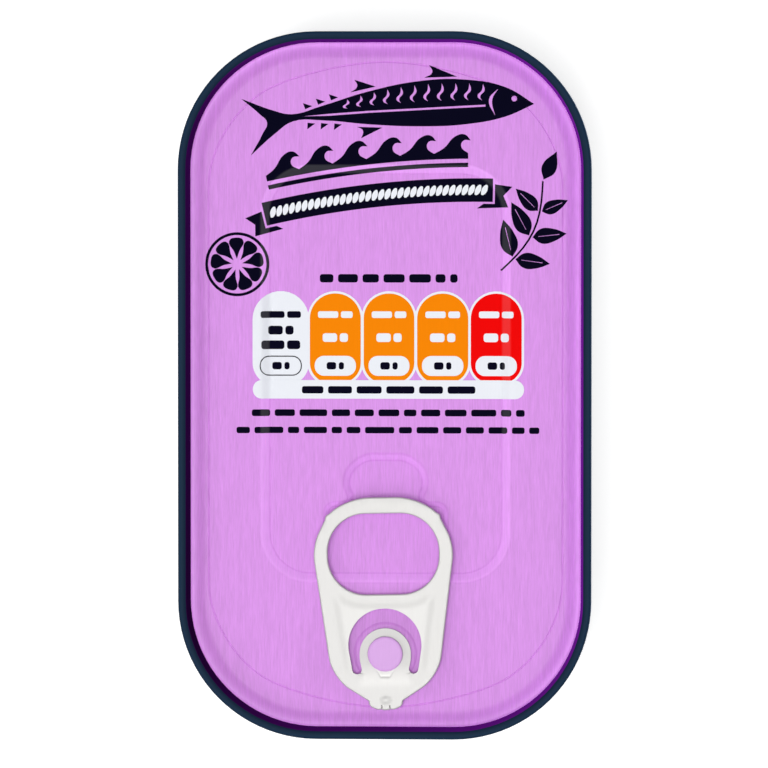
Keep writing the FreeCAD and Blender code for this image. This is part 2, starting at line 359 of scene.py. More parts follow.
def wellSlope(co):  # 1 half-way down the finger well's side, 0 on the tray and on the well's floor
    nearEdge, slack = trayNear + tray["slope"], paintedLight["wellSlack"]
    floorDeep = well["deep"] * (co.y - nearEdge) / (well["far"] - nearEdge)
    outside = abs(co.x) > well["wing"] + slack or not nearEdge < co.y < well["far"] + slack
    if outside or floorDeep < paintedLight["wellRunOut"]:
        return 0
    down = (trayZ - co.z) / floorDeep
    return ease(paintedLight["wellEdge"] * min(down, 1 - down))


def leaning(name, x, y):  # painted light that grows towards one side of the tin
    everywhere, right, far = paintedLight[name]
    return everywhere + right * (x / halfWidth) + far * (y / halfLength)


# paints light and shade into the lid: a painted highlight on the seam's crest, walls painted lighter to the
# right and far end, painted highlights down the tray's and well's slopes and at the wall's foot, painted
# light near the wall, and painted shade round the rivet under the tab
def paintShading(bm):
    layer = bm.verts.layers.float.new("paintedShading")
    for vert in bm.verts:
        x, y, z = vert.co
        fromEdge = insideOf(x, y, halfWidth, -halfLength, halfLength, seam["corner"])
        fromWall = fromEdge - seam["thickness"]
        # painted highlight along the seam's rounded crest
        if fromWall < -gap and z > topZ - paintedLight["hemDown"]:
            fade = fadeOut(fromEdge, paintedLight["hemOut"], paintedLight["hemOut"])
            vert[layer] = paintedLight["hem"] * ease(fromEdge / paintedLight["hemIn"]) * fade
        # chuck wall painted lighter to the right and far end, where the lamp falls
        elif z > gutterZ + paintedLight["wallFoot"] and fromWall < paintedLight["wallReach"]:
            vert[layer] = leaning("wall", x, y)
        else:
            down = trayInset(x, y) / tray["slope"]
            onTray = ease(paintedLight["slopeEdge"] * min(down, 1 - down))
            onSlope = max(onTray, paintedLight["wellShare"] * wellSlope(vert.co))
            fade = fadeOut(fromWall, paintedLight["footOut"], paintedLight["footOut"])
            atFoot = ease(fromWall / paintedLight["footIn"]) * fade
            border = fadeOut(fromWall, 0, paintedLight["borderReach"])
            fromRivet = math.hypot(x, y - rivetY)
            atRivet = fadeOut(fromRivet, paintedLight["rivetClose"], paintedLight["rivetReach"])
            # painted highlights on the slopes and at the wall's foot, painted light near the wall, painted
            # shade round the rivet under the tab
            vert[layer] = (leaning("slope", x, y) * onSlope + leaning("foot", x, y) * atFoot
                           + leaning("border", x, y) * border - paintedLight["rivet"] * atRivet)


def makeLid():
    bm = bmesh.new()
    hemZ = topZ - seam["height"]
    startZ = hemZ + 2 * seam["hemRound"]
    thick, r, innerRound = seam["thickness"], seam["round"], seam["innerRound"]
    overSeam, onWall = 1, 2  # the lid's second and third material

    # over the seam's top, down the chuck wall and through the gutter to the panel
    face = roundedFace(bm, tinOutline(0), startZ)
    steps = [(0, topZ - r)] + roundOver(0, topZ - r, r, topZ, flatFirst=False, count=6)
    face = stepIn(bm, face, steps, overSeam)
    inner = thick - innerRound
    face = stepIn(bm, face, [(inner - r, topZ)], overSeam)
    # the seam's finish ends part of the way round its inner edge
    turned = roundOver(0, topZ, innerRound, topZ - innerRound, flatFirst=True)
    face = stepIn(bm, face, turned[:3], overSeam)
    face = stepIn(bm, face, [(inset - turned[2][0], z) for inset, z in turned[3:]], onWall)
    footRound, gutter = chuck["footRound"], chuck["gutter"]
    face = stepIn(bm, face, [(chuck["draft"], gutterZ + footRound)], onWall)
    steps = roundOver(0, gutterZ + footRound, footRound, gutterZ, flatFirst=False) + [(gutter, gutterZ)]
    count = chuck["steps"]
    for i in range(1, count + 1):
        steps.append((gutter + chuck["slope"] * i / count, gutterZ + chuck["rise"] * ease(i / count)))
    openFace(bm, stepIn(bm, face, steps))

    # under the hem, then down inside the body as a plug
    under = roundedFace(bm, tinOutline(0), startZ)
    hemRound = seam["hemRound"]
    steps = [(0, hemZ + hemRound)]
    steps += roundOver(0, hemZ + hemRound, hemRound, hemZ, flatFirst=False, count=4)
    plug = body["inset"] + body["wall"] + gap
    stepIn(bm, under, steps + [(plug, hemZ), (plug, lidLow.z)], overSeam)

    # score line
    half = score["half"]
    sideX, endY = halfWidth - score["side"] + half, halfLength - score["end"] + half
    endX, sideY, corner, crown = score["endX"], endY - score["cornerY"], score["corner"], score["crown"]
    # one half of the line; the other is the same one turned round
    line = [(sideX, -sideY, corner), (sideX, sideY, corner), (endX, endY, crown), (-endX, endY, crown)]
    face = roundedFace(bm, line + [(-x, -y, r) for x, y, r in line], panelZ)
    steps = [(share * half, panelZ - sunk * score["deep"]) for share, sunk in score["steps"]]
    face = stepIn(bm, face, steps)
    fillLevel(bm, panelZ)
    openFace(bm, face)

    # tray, and the rivet's low boss before its near end
    corner = tray["corner"]
    face = roundedFace(bm, mirrored([(trayHalf, trayNear, corner), (trayHalf, trayFar, corner)]), panelZ)
    openFace(bm, stepIn(bm, face, traySteps))
    circle = bmesh.ops.create_circle(bm, cap_ends=True, segments=boss["sides"], radius=boss["radius"],
                                     matrix=Matrix.Translation((0, rivetY, panelZ)))
    steps = [(inset, panelZ + share * boss["rise"]) for inset, share in boss["steps"]]
    stepIn(bm, circle["verts"][0].link_faces[0], steps)
    fillLevel(bm, panelZ)

    # finger well, its floor running up to the tray at the near end
    nearEdge, far = trayNear + tray["slope"] + gap, well["far"]
    face = roundedFace(bm, mirrored([
        (well["wing"], nearEdge, well["nearRound"]), (well["wing"], well["wingFar"], well["wingRound"]),
        (well["neckX"], well["wingFar"], well["neckRound"]),
        (well["widestX"], well["widestY"], well["sideRound"]), (well["farX"], far, well["farRound"])]), trayZ)

    def aboveFloor(z):
        return lambda co: max(z, trayZ - well["deep"] * (co.y - nearEdge) / (far - nearEdge))
    steps = slopeSteps(well["slope"], trayZ, trayZ - well["deep"], count=8)
    face = stepIn(bm, face, [(inset, aboveFloor(z)) for inset, z in steps])
    face.smooth = False
    fillLevel(bm, trayZ)
    paintShading(bm)
    return finishPiece(bm, "canLid", [lilac, navy, wallPurple], ["lid"])


tab = {
    "turn": 1.0, "top": 23.55, "side": 10.7, "crownIn": 5.02, "crownRound": 8.7,
    "shoulderIn": 2.25, "shoulderDown": 2.75,
    "spur": 0.16, "spurHalf": 0.6, "spurRound": 0.3, "dentRound": 0.4,
    "widestY": 16.25, "sideRound": 7.1, "elbowIn": 2.65, "elbowY": -3.51, "elbowRound": 6.7,
    "tip": -8.42, "edgeRound": 0.2, "ring": 2.33, "ringTop": 2.4, "holeY": 8.97, "holeCorner": 5.75,
    "smoothUnder": 50,  # in degrees, as the turn is
}
web = {  # pressed down between the curled rims, and up from below
    "rim": 1.7, "holeRim": 1.0, "crease": 1.5, "drop": 0.14, "raise": 0.34,
    # the last value paints the pressed web a little lighter
    "startY": -4.4, "startFade": 3.5, "end": 2, "endFade": 4, "shading": 0.05,
}
tongue = {  # held by the rivet and bent down to it from the nose
    "half": 3.85, "reach": 0.8, "drop": 0.6, "bendY": -5.4, "bend": 5.9, "rootHalf": 4.4, "rootFade": 1.4,
    # painted shade where the tongue lies on the boss, and a painted highlight along its bend
    "dark": 0.2, "light": 2.4,
}
cut = {  # C-shaped slot round the tongue
    "endX": 3.35, "endOutX": 4.87, "endY": -2.98, "endRound": 0.74, "half": 5.5, "lowY": 0.9, "lowRound": 2.5,
    "topY": 6.87, "topRound": 5.49, "innerLowY": -0.9, "innerLowRound": 3.0, "innerTopRound": 3.84,
}
nose = {
    "outline": ((0.36, 0, 0.34), (0.66, 0.12, 0.15), (1.2, 0.06, 0.45), (2.55, 0.6, 0.9), (2.55, 1.38, 0.2)),
    "slitX": 0.64, "slitHalf": 0.07, "slitLong": 0.75, "slitDeep": 0.22,
    "dimpleY": 1.5, "dimpleX": 1.2, "dimpleTall": 0.85, "dimple": 0.12,
    "foldY": -3.4, "foldFlat": 0.65, "foldLean": 1.66, "foldX": 1.1, "foldHalf": 0.2, "fold": 0.09,
}
cuts = {  # lines across the tab, closer together over the nose's marks
    "coarse": 0.3, "fine": 0.12, "noseHalf": 1.32, "restX": 1.6, "noseTall": 2.5,
    "foldLow": -3.88, "foldHigh": -2.4, "webTop": 12.3,
}


def gridCuts(bm, xs, ys):
    for axis, places in ((Vector((1, 0, 0)), xs), (Vector((0, 1, 0)), ys)):
        for place in places:
            bmesh.ops.bisect_plane(bm, geom=bm.verts[:] + bm.edges[:] + bm.faces[:], dist=touching,
                                   plane_co=axis * place, plane_no=axis)


def tabCuts(bm):
    coarse, fine, tip = cuts["coarse"], cuts["fine"], tab["tip"]
    wide, mid, low, high = tab["side"] - coarse, cuts["noseHalf"], cuts["foldLow"], cuts["foldHigh"]
    xs = spaced(-wide, -cuts["restX"], coarse) + spaced(-mid, mid, fine) + spaced(cuts["restX"], wide, coarse)
    ys = spaced(tip + coarse, tip + cuts["noseTall"], fine)
    ys += spaced(tip + cuts["noseTall"] + coarse, low - fine, coarse)
    ys += spaced(low, high, fine) + spaced(high + coarse, cuts["webTop"], coarse)
    gridCuts(bm, xs, ys)


def spurCorners():  # small burr on the shoulder: dent, peak, dent
    corner = Vector((tab["side"] - tab["shoulderIn"], tab["top"] - tab["shoulderDown"]))
    fromSide = (corner - Vector((tab["side"], tab["widestY"]))).normalized()
    toCrown = (Vector((tab["side"] - tab["crownIn"], tab["top"])) - corner).normalized()
    outward = Vector((fromSide.y + toCrown.y, -fromSide.x - toCrown.x)).normalized()
    spots = [(corner - fromSide * tab["spurHalf"], tab["dentRound"]),
             (corner + outward * tab["spur"], tab["spurRound"]),
             (corner + toCrown * tab["spurHalf"], tab["dentRound"])]
    return [(at.x, at.y, r) for at, r in spots]


def webDepth(x, y):  # 1 over the pressed web, 0 on the curled rims round it
    side, widest = tab["side"], tab["widestY"]
    lean = math.atan2(tab["elbowIn"], widest - tab["elbowY"])
    fromSide = (side - (widest - y) * math.tan(lean) - abs(x)) * math.cos(lean)
    fromHole = -insideOf(x, y, side - tab["ring"], tab["holeY"], tab["top"] - tab["ringTop"],
                         tab["holeCorner"])
    across = ease((fromSide - web["rim"]) / web["crease"]) * ease((fromHole - web["holeRim"]) / web["crease"])
    start = ease((y - web["startY"]) / web["startFade"])
    return across * start * ease((widest - web["end"] - y) / web["endFade"])


def tongueDepth(x, y):  # 1 where the tongue lies on the rivet's boss, 0 off it and before its bend
    bend = ease((y - tongue["bendY"]) / tongue["bend"])
    if y > cut["endY"]:
        return bend if math.hypot(x, y) < tongue["half"] + tongue["reach"] else 0
    return bend * ease((tongue["rootHalf"] - abs(x)) / tongue["rootFade"])


def noseMarks(x, y):  # depth of the two slits, the dimple and the fold
    up = y - tab["tip"]
    slit = abs(abs(x) - nose["slitX"]) < nose["slitHalf"] and up < nose["slitLong"]
    dimple = fadeOut(math.hypot(x / nose["dimpleX"], (up - nose["dimpleY"]) / nose["dimpleTall"]), 0, 1)
    foldY = nose["foldY"] + nose["foldLean"] * max(abs(x) - nose["foldFlat"], 0)
    fold = fadeOut(abs(y - foldY), 0, nose["foldHalf"]) * fadeOut(abs(x), nose["foldX"], nose["foldHalf"])
    return slit * nose["slitDeep"] + dimple * nose["dimple"] + fold * nose["fold"]


def makeTab():
    bm = bmesh.new()
    low, high = tabLow.z, tabHigh.z
    middle = (low + high) / 2
    side, top, r = tab["side"], tab["top"], tab["edgeRound"]
    outline = mirrored([
        *[(x, tab["tip"] + up, rounding) for x, up, rounding in nose["outline"]],
        (side - tab["elbowIn"], tab["elbowY"], tab["elbowRound"]), (side, tab["widestY"], tab["sideRound"]),
        *spurCorners(), (side - tab["crownIn"], top, tab["crownRound"])])
    holeX, corner = side - tab["ring"] + r, tab["holeCorner"] + r
    hole = mirrored([(holeX, tab["holeY"] - r, corner), (holeX, top - tab["ringTop"] + r, corner)])
    # the slot: round the outside from one end to the other, then back along the tongue
    slot = mirrored([
        (cut["endX"], cut["endY"], cut["endRound"]), (cut["endOutX"], cut["endY"], cut["endRound"]),
        (cut["half"], cut["lowY"], cut["lowRound"]), (cut["half"], cut["topY"], cut["topRound"])])
    slot += mirrored([(-tongue["half"], cut["innerLowY"], cut["innerLowRound"]),
                      (-tongue["half"], tongue["half"], cut["innerTopRound"])])
    for level, inward in ((high, -1), (low, 1)):
        start = level + inward * r
        edge = [(0, start)] + roundOver(0, start, r, level, flatFirst=False, count=4)
        openFace(bm, stepIn(bm, roundedFace(bm, outline, middle), edge))
        edge = roundOver(0, level, r, start, flatFirst=True, count=4) + [(r, middle)]
        openFace(bm, stepIn(bm, roundedFace(bm, hole, level), edge))
    openFace(bm, stepIn(bm, roundedFace(bm, slot, high), [(0, low)]))
    fillLevel(bm, high)
    fillLevel(bm, low)
    tabCuts(bm)
    # painted light and shade on the tab: a little lighter over the pressed web, painted shade where the
    # tongue lies on the rivet's boss, and a painted highlight along its bend
    layer = bm.verts.layers.float.new("paintedShading")
    for vert in bm.verts:
        x, y, z = vert.co
        pressed, bent = webDepth(x, y), tongueDepth(x, y)
        light = tongue["light"] * bent * (1 - bent) ** 2
        vert[layer] = web["shading"] * pressed - tongue["dark"] * bent ** 3 + light
        if abs(z - high) < touching:
            vert.co.z -= web["drop"] * pressed + tongue["drop"] * bent + noseMarks(x, y)
        elif abs(z - low) < touching:
            vert.co.z += web["raise"] * pressed * (1 - bent)
    for face in bm.faces:
        face.smooth = True
    turn = Matrix.Rotation(math.radians(tab["turn"]), 3, "Z")
    bmesh.ops.rotate(bm, verts=bm.verts[:], cent=(0, 0, 0), matrix=turn)
    bmesh.ops.translate(bm, verts=bm.verts[:], vec=(0, rivetY, 0))
    for edge in bm.edges:
        edge.smooth = edge.is_boundary or edge.calc_face_angle(0) < math.radians(tab["smoothUnder"])
    return finishPiece(bm, "ringTab", [bareMetal], ["pull_tab"])


def makeRivet():
    bm = bmesh.new()
    foot, head, r = panelZ + gap, tabLow.z + rivet["lift"], rivet["head"]
    top = head + rivet["tall"]
    profile = [(0, foot), (rivet["shank"], foot), (rivet["shank"], head),
               (r - rivet["underRound"], head), (r, head + rivet["underRound"])]
    profile += [(r - inwards, top - down) for inwards, down in rivet["rim"]] + [(0, top - rivet["dish"])]
    verts = [bm.verts.new((x, 0, z)) for x, z in profile]
    edges = [bm.edges.new(pair) for pair in zip(verts, verts[1:])]
    bmesh.ops.spin(bm, geom=verts + edges, cent=(0, 0, 0), axis=(0, 0, 1), angle=2 * math.pi,
                   steps=rivet["sides"], use_merge=True)
    bmesh.ops.translate(bm, verts=bm.verts[:], vec=(0, rivetY, 0))
    for face in bm.faces:
        face.smooth = True
    return finishPiece(bm, "rivetHead", [rivetLilac])


sharp, smooth = "VECTOR", "AUTO"  # how an inked outline turns at a point
inkCuts = {"coarse": 0.24, "fine": 0.14, "before": 1.35, "past": 0.05, "cornerX": 11.2, "cornerY": 25.4}


def sheetZ(x, y):  # the lid's height where it is printed
    reach = trayInset(x, y)
    if reach <= 0:
        return panelZ
    last = (0, panelZ)
    for step in traySteps:
        if reach < step[0]:
            return last[1] + (step[1] - last[1]) * (reach - last[0]) / (step[0] - last[0])
        last = step
    return trayZ


def inkPiece(name, outlines, material, lift):
    data = bpy.data.curves.new(name, "CURVE")
    data.dimensions = "2D"
    data.fill_mode = "FRONT"  # an outline inside another is a hole
    data.resolution_u = 5  # steps from point to point of a curve
    for outline in outlines:
        spline = data.splines.new("BEZIER")
        spline.bezier_points.add(len(outline) - 1)
        for knot, (x, y, kind) in zip(spline.bezier_points, outline):
            knot.co = (x, y, 0)
            knot.handle_left_type = knot.handle_right_type = kind
        spline.use_cyclic_u = True
    holder = bpy.data.objects.new(name, data)
    bpy.context.scene.collection.objects.link(holder)
    mesh = bpy.data.meshes.new_from_object(holder.evaluated_get(bpy.context.evaluated_depsgraph_get()))
    bpy.data.objects.remove(holder)
    bm = bmesh.new()
    bm.from_mesh(mesh)
    # cut finely where the print goes down the tray's slope
    before, past, fine = inkCuts["before"], inkCuts["past"], inkCuts["fine"]
    xs = spaced(trayHalf - before, trayHalf + past, fine)
    xs += spaced(inkCuts["cornerX"], trayHalf - before, inkCuts["coarse"])
    ys = spaced(trayFar - before, trayFar + past, fine)
    ys += spaced(inkCuts["cornerY"], trayFar - before, inkCuts["coarse"])
    gridCuts(bm, xs + [-x for x in xs], ys)
    for vert in bm.verts:
        vert.co.z = sheetZ(vert.co.x, vert.co.y) + lift
    # the print takes the lid's painted light and shade
    paintShading(bm)
    for face in bm.faces:
        if face.normal.z < 0:
            face.normal_flip()
        face.smooth = True
    bmesh.ops.scale(bm, vec=(mm, mm, mm), verts=bm.verts[:])
    bm.to_mesh(mesh)
    bm.free()
    mesh.materials.clear()
    mesh.materials.append(material)
    mesh.name = name
    piece = bpy.data.objects.new(name, mesh)
    bpy.context.scene.collection.objects.link(piece)
    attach(piece, "root")
    print(name, len(mesh.polygons), "faces")
    return piece


def arc(cx, cy, radius, start, end, count):
    out = []
    for i in range(count + 1):
        a = math.radians(start + (end - start) * i / count)
        out.append((cx + radius * math.cos(a), cy + radius * math.sin(a), sharp))
    return out


def pill(x0, x1, y0, y1, corner, foot=None):  # bar with rounded ends; its lower corners may differ
    points = []
    for cx, cy, start in ((x1, y0, -90), (x1, y1, 0), (x0, y1, 90), (x0, y0, 180)):
        r = corner if foot is None or cy == y1 else foot
        mx, my = cx - r if cx == x1 else cx + r, cy - r if cy == y1 else cy + r
        points += arc(mx, my, r, start, start + 90, max(3, int(r * 5)))  # about five steps for a millimetre
    return points


def disc(cx, cy, radius, count):
    turns = [i * 2 * math.pi / count for i in range(count)]
    return [(cx + radius * math.cos(a), cy + radius * math.sin(a), smooth) for a in turns]


banner = {"x": 13.4, "y": 42.6, "bow": 152.0, "waveDrop": 7.9, "ribbonDrop": 13.35}


def onBow(points, drop=0):  # bends a drawing along the bow that the title place follows
    out = []
    for u, v, kind in points:
        r = banner["bow"] - drop + v
        a = u / (banner["bow"] - drop)
        out.append((banner["x"] + r * math.sin(a), banner["y"] - banner["bow"] + r * math.cos(a), kind))
    return out


# every point is (along the bow, across it, how it turns)
fish = {
    "outline": (
        (8.9, -0.2, sharp), (4.6, 2.1, smooth), (-1.5, 3.2, smooth), (-8, 3.2, smooth), (-16, 2.2, smooth),
        (-23, 0.95, smooth), (-27.6, 0.5, smooth), (-30.2, 1.6, smooth), (-34.4, 4.3, sharp),
        (-32.2, 1.4, smooth), (-31.4, 0, smooth), (-32.4, -1.5, smooth), (-34.9, -4.3, sharp),
        (-30.6, -1.9, smooth), (-27.6, -0.6, smooth), (-23, -1.2, smooth), (-16, -2.7, smooth),
        (-8, -3.6, smooth), (-1.5, -3.5, smooth), (4.6, -2.3, smooth)),
    "fins": (
        ((-2.6, 3.65, sharp), (-6.6, 5.5, sharp), (-6.2, 4.4, smooth), (-7.4, 3.65, sharp)),
        ((-14.6, 2.85, sharp), (-17.6, 4.2, sharp), (-17.3, 3.2, smooth), (-18.4, 2.4, sharp)),
        ((-14.2, -3.35, sharp), (-18.0, -2.85, sharp), (-17.2, -3.5, smooth), (-17.6, -4.6, sharp))),
    "gill": ((3.5, 1.9, sharp), (2.6, 0.2, smooth), (3.1, -2.2, sharp), (2.1, 0.2, smooth)),
    "finlets": (-20.3, -22.3, -24.3), "taperFrom": -20, "taper": 0.18,
    "finletAbove": ((0, 1.95), (-1.3, 2.6), (-1.1, 1.65)),
    "finletBelow": ((0, -2.25), (-1.1, -1.95), (-1.3, -2.9)),
    "eye": (5.9, 0.45, 0.42), "bars": 11, "firstBar": 1.2, "barGap": 2.02,
    "bar": ((0, 1, sharp), (0.25, 0.62, smooth), (-0.4, 0.25, smooth),
            (-0.8, 0.28, smooth), (-0.17, 0.62, smooth)),  # across is a share of its height
    "barFoot": (-0.1, 0.05, sharp), "barTall": 2.72, "tallestAt": -5, "frontFall": 0.0045, "rearFall": 0.0068,
    "line": ((1.6, -0.55), (-4, -0.8), (-10, -0.85), (-16, -0.65), (-22, -0.35), (-26, -0.1)),
    "lineWide": 0.3,
}


def fishShapes():
    shapes = [fish["outline"], *fish["fins"]]
    for u in fish["finlets"]:  # they follow the tail's taper on both sides
        taper = (u - fish["taperFrom"]) * fish["taper"]
        shapes.append([(u + du, v + taper, sharp) for du, v in fish["finletAbove"]])
        shapes.append([(u + du, v - taper, sharp) for du, v in fish["finletBelow"]])
    shapes += [disc(*fish["eye"], count=12)[::-1], fish["gill"]]
    for i in range(fish["bars"]):
        u = fish["firstBar"] - fish["barGap"] * i
        fall = fish["frontFall"] if u > fish["tallestAt"] else fish["rearFall"]
        tall = fish["barTall"] - fall * (u - fish["tallestAt"]) ** 2
        bar = [(u + du, share * tall, kind) for du, share, kind in fish["bar"]]
        du, v, kind = fish["barFoot"]
        shapes.append(bar[:3] + [(u + du, v, kind)] + bar[3:])
    line = fish["line"]
    shapes.append([(u, v, sharp) for u, v in line]
                  + [(u, v - fish["lineWide"], sharp) for u, v in reversed(line[:-1])])
    return [onBow(shape) for shape in shapes]


waves = {
    "start": -31.6, "step": 5.1, "count": 6, "bottom": -0.75, "lineTop": -1.35, "lineBottom": -2.0,
    "points": 20,
    "crest": ((0, 0.1, sharp), (1.5, 0.9, smooth), (3.2, 2.6, smooth), (4.6, 2.9, smooth),
              (5.5, 2.0, sharp), (4.4, 1.95, smooth), (4.1, 1.0, smooth)),
}


def straight(start, end, v, count):  # level line with points enough to bend with the bow
    return [(start + (end - start) * i / count, v, sharp) for i in range(count + 1)]


def waveShapes():
    start, end = waves["start"], waves["start"] + waves["step"] * waves["count"]
    points = []
    for i in range(waves["count"]):
        points += [(start + waves["step"] * i + u, v, kind) for u, v, kind in waves["crest"]]
    points.append((end, waves["crest"][0][1], sharp))
    points += straight(end, start, waves["bottom"], waves["points"])
    line = straight(start, end, waves["lineTop"], waves["points"])
    line += [(u, waves["lineBottom"], sharp) for u, v, kind in reversed(line)]
    return [onBow(points, banner["waveDrop"]), onBow(line, banner["waveDrop"])]


ribbon = {
    "left": -31.9, "right": 2.7, "half": 1.76, "points": 24,
    "leftTail": (
        (-0.3, 0.5), (-2.9, 0.1), (-1.7, -1.2), (-2.1, -2.9), (2.3, -2.75), (1.4, -2.1), (-0.3, -2.1)),
    "rightTail": (
        (0.3, 0.9), (0.3, -2.05), (-1.4, -2.05), (-2.4, -2.75), (2.4, -2.5), (1.6, -0.8), (2.9, 0.6)),
    "ropeStart": -30.6, "ropeStep": 0.97, "strands": 34,
    "strand": ((-0.42, -0.72), (0.05, -0.62), (0.52, 0.55), (0.42, 0.78), (-0.05, 0.62), (-0.5, -0.5)),
}


def ribbonShapes():
    left, right, half = ribbon["left"], ribbon["right"], ribbon["half"]
    band = straight(left, right, -half, ribbon["points"])
    band += [(u, half, sharp) for u, v, kind in reversed(band)]
    tails = [[(end + u, v, sharp) for u, v in tail]
             for end, tail in ((left, ribbon["leftTail"]), (right, ribbon["rightTail"]))]
    return [onBow(shape, banner["ribbonDrop"]) for shape in [band] + tails]


def ropeShapes():  # twisted cord drawn along the ribbon
    shapes = []
    for i in range(ribbon["strands"]):
        at = ribbon["ropeStart"] + ribbon["ropeStep"] * i
        shapes.append(onBow([(at + u, v, smooth) for u, v in ribbon["strand"]], banner["ribbonDrop"]))
    return shapes


lemon = {
    "x": -22.3, "y": 18.1, "radius": 4.8, "peel": 0.42, "wedges": 9, "turn": 12,
    "rind": 0.8, "rindCorner": 1.1, "cornerAngle": 16.5, "core": 0.8, "coreSide": 1.9, "coreAngle": 11,
}


def lemonShapes():
    cx, cy, radius = lemon["x"], lemon["y"], lemon["radius"]
    shapes = [disc(cx, cy, radius, count=40), disc(cx, cy, radius - lemon["peel"], count=40)]
    outer, wide, narrow = radius - lemon["rindCorner"], lemon["cornerAngle"], lemon["coreAngle"]
    wedge = (
        (-wide, outer, smooth), (0, radius - lemon["rind"], smooth), (wide, outer, smooth),
        (narrow, lemon["coreSide"], smooth), (0, lemon["core"], sharp), (-narrow, lemon["coreSide"], smooth))
    for i in range(lemon["wedges"]):
        turn = math.radians(360 / lemon["wedges"] * i + lemon["turn"])
        points = []
        for degrees, r, kind in wedge:
            a = turn + math.radians(degrees)
            points.append((cx + r * math.cos(a), cy + r * math.sin(a), kind))
        shapes.append(points)
    return shapes


sprig = {
    "foot": (17.3, 17.2), "tip": (23.6, 30.6), "bend": -0.13, "stemHalf": 0.14, "stemPoints": 10,
    "pairs": ((0.16, 6.4), (0.43, 6.3), (0.7, 5.3)),  # how far up the stem, and their reach
    "leaves": ((58, 0.95), (-54, 0.87)), "follow": 0.9,  # turned from the stem, and their share of the reach
    "leafFoot": 0.35, "vein": ((0.22, 0.03), (0.22, -0.03), (0.8, -0.05), (0.8, 0.05)),
    "leaf": ((0.3, -0.2, smooth), (0.65, -0.17, smooth), (1, 0, sharp),
             (0.65, 0.17, smooth), (0.3, 0.2, smooth)),
    "endLeaf": ((0.25, 0, sharp), (2.0, -1.1, smooth), (4.9, 0, sharp), (2.0, 1.1, smooth)),
}


def turnedTo(shape, x, y, angle):
    c, s = math.cos(angle), math.sin(angle)
    return [(x + u * c - v * s, y + u * s + v * c, kind) for u, v, kind in shape]


def sprigShapes():
    (footX, footY), tip, bend, half = sprig["foot"], sprig["tip"], sprig["bend"], sprig["stemHalf"]
    dx, dy = tip[0] - footX, tip[1] - footY
    heading, long = math.atan2(dy, dx), math.hypot(dx, dy)

    def along(t):
        sway = bend * math.sin(math.pi * t)
        return footX + dx * t - dy * sway, footY + dy * t + dx * sway
    stem = [along(i / sprig["stemPoints"]) for i in range(sprig["stemPoints"] + 1)]
    sideX, sideY = -dy / long * half, dx / long * half
    shapes = [[(x + sideX, y + sideY, sharp) for x, y in reversed(stem)]
              + [(x - sideX, y - sideY, sharp) for x, y in stem]]
    for t, reach in sprig["pairs"]:
        x, y = along(t)
        for turn, share in sprig["leaves"]:
            angle = heading + math.radians(turn) + bend * math.pi * math.cos(math.pi * t) * sprig["follow"]
            size = share * reach
            leaf = [(sprig["leafFoot"], 0, sharp)]
            leaf += [(u * size, v * size, kind) for u, v, kind in sprig["leaf"]]
            vein = [(u * size, v, sharp) for u, v in sprig["vein"]]
            shapes += [turnedTo(leaf, x, y, angle), turnedTo(vein, x, y, angle)]
    return shapes + [turnedTo(sprig["endLeaf"], *tip, heading)]


panel = {  # five arches on a white field, with a bar below them and a pill in each
    "starts": (-19.62, -11.4, -3.3, 4.73, 12.78), "ends": (-11.9, -3.75, 4.3, 12.4, 20.45),
    "top": 13.72, "bottom": 0.3, "edge": 0.36, "footRound": 3.0, "crown": 0.985, "arcSteps": 14,
    "barLeft": 0.33, "barRight": 0.36, "barTop": 0.72, "barBottom": -2.08, "barRound": 1.35,
    "pillIn": 0.72, "pillTop": 4.36, "pillBottom": 1.36, "pillRound": 1.4, "outline": 0.15,
}
spans = list(zip(panel["starts"], panel["ends"]))
# pairs of dashes in an arch: (height, tall, half width), the first arch having one more
figures = {"first": ((10.55, 1.0, 3.0), (8.2, 1.3, 1.9), (6.0, 1.3, 2.9)),
           "others": ((10.55, 1.0, 2.6), (7.1, 1.3, 1.9)), "pill": (2.86, 1.1, 1.3)}
# rows of dashes: (left, right, height, tall, seed)
lines = {"bar": (-12.6, 13.5, -0.75, 1.1, 5),
         "plain": ((-9.9, 10.8, 16.0, 1.25, 3), (-20.1, 20.9, -4.2, 1.0, 11), (-22.4, 23.1, -6.8, 0.95, 8))}
dash = {
    "shortest": 1.3, "longest": 4.4, "gap": 0.7, "least": 1, "round": 0.3, "pairGap": 0.2, "pairCut": 0.25,
}
lifts = {"field": 0.02, "plain": 0.03, "arches": 0.035, "white": 0.05, "dark": 0.065}  # over the lid


def dashRow(x, end, y, tall, seed):
    chance = random.Random(seed)
    shapes = []
    while x < end - dash["least"]:
        long = min(chance.uniform(dash["shortest"], dash["longest"]), end - x)
        shapes.append(pill(x, x + long, y - tall / 2, y + tall / 2, dash["round"] * tall))
        x += long + dash["gap"]
    return shapes


def dashPair(x, y, tall, half):  # a figure's and its unit's place
    cutX = x + dash["pairCut"] * half
    return [pill(x - half, cutX - dash["pairGap"], y - tall / 2, y + tall / 2, dash["round"] * tall),
            pill(cutX + dash["pairGap"], x + half, y - tall / 2, y + tall / 2, dash["round"] * tall)]


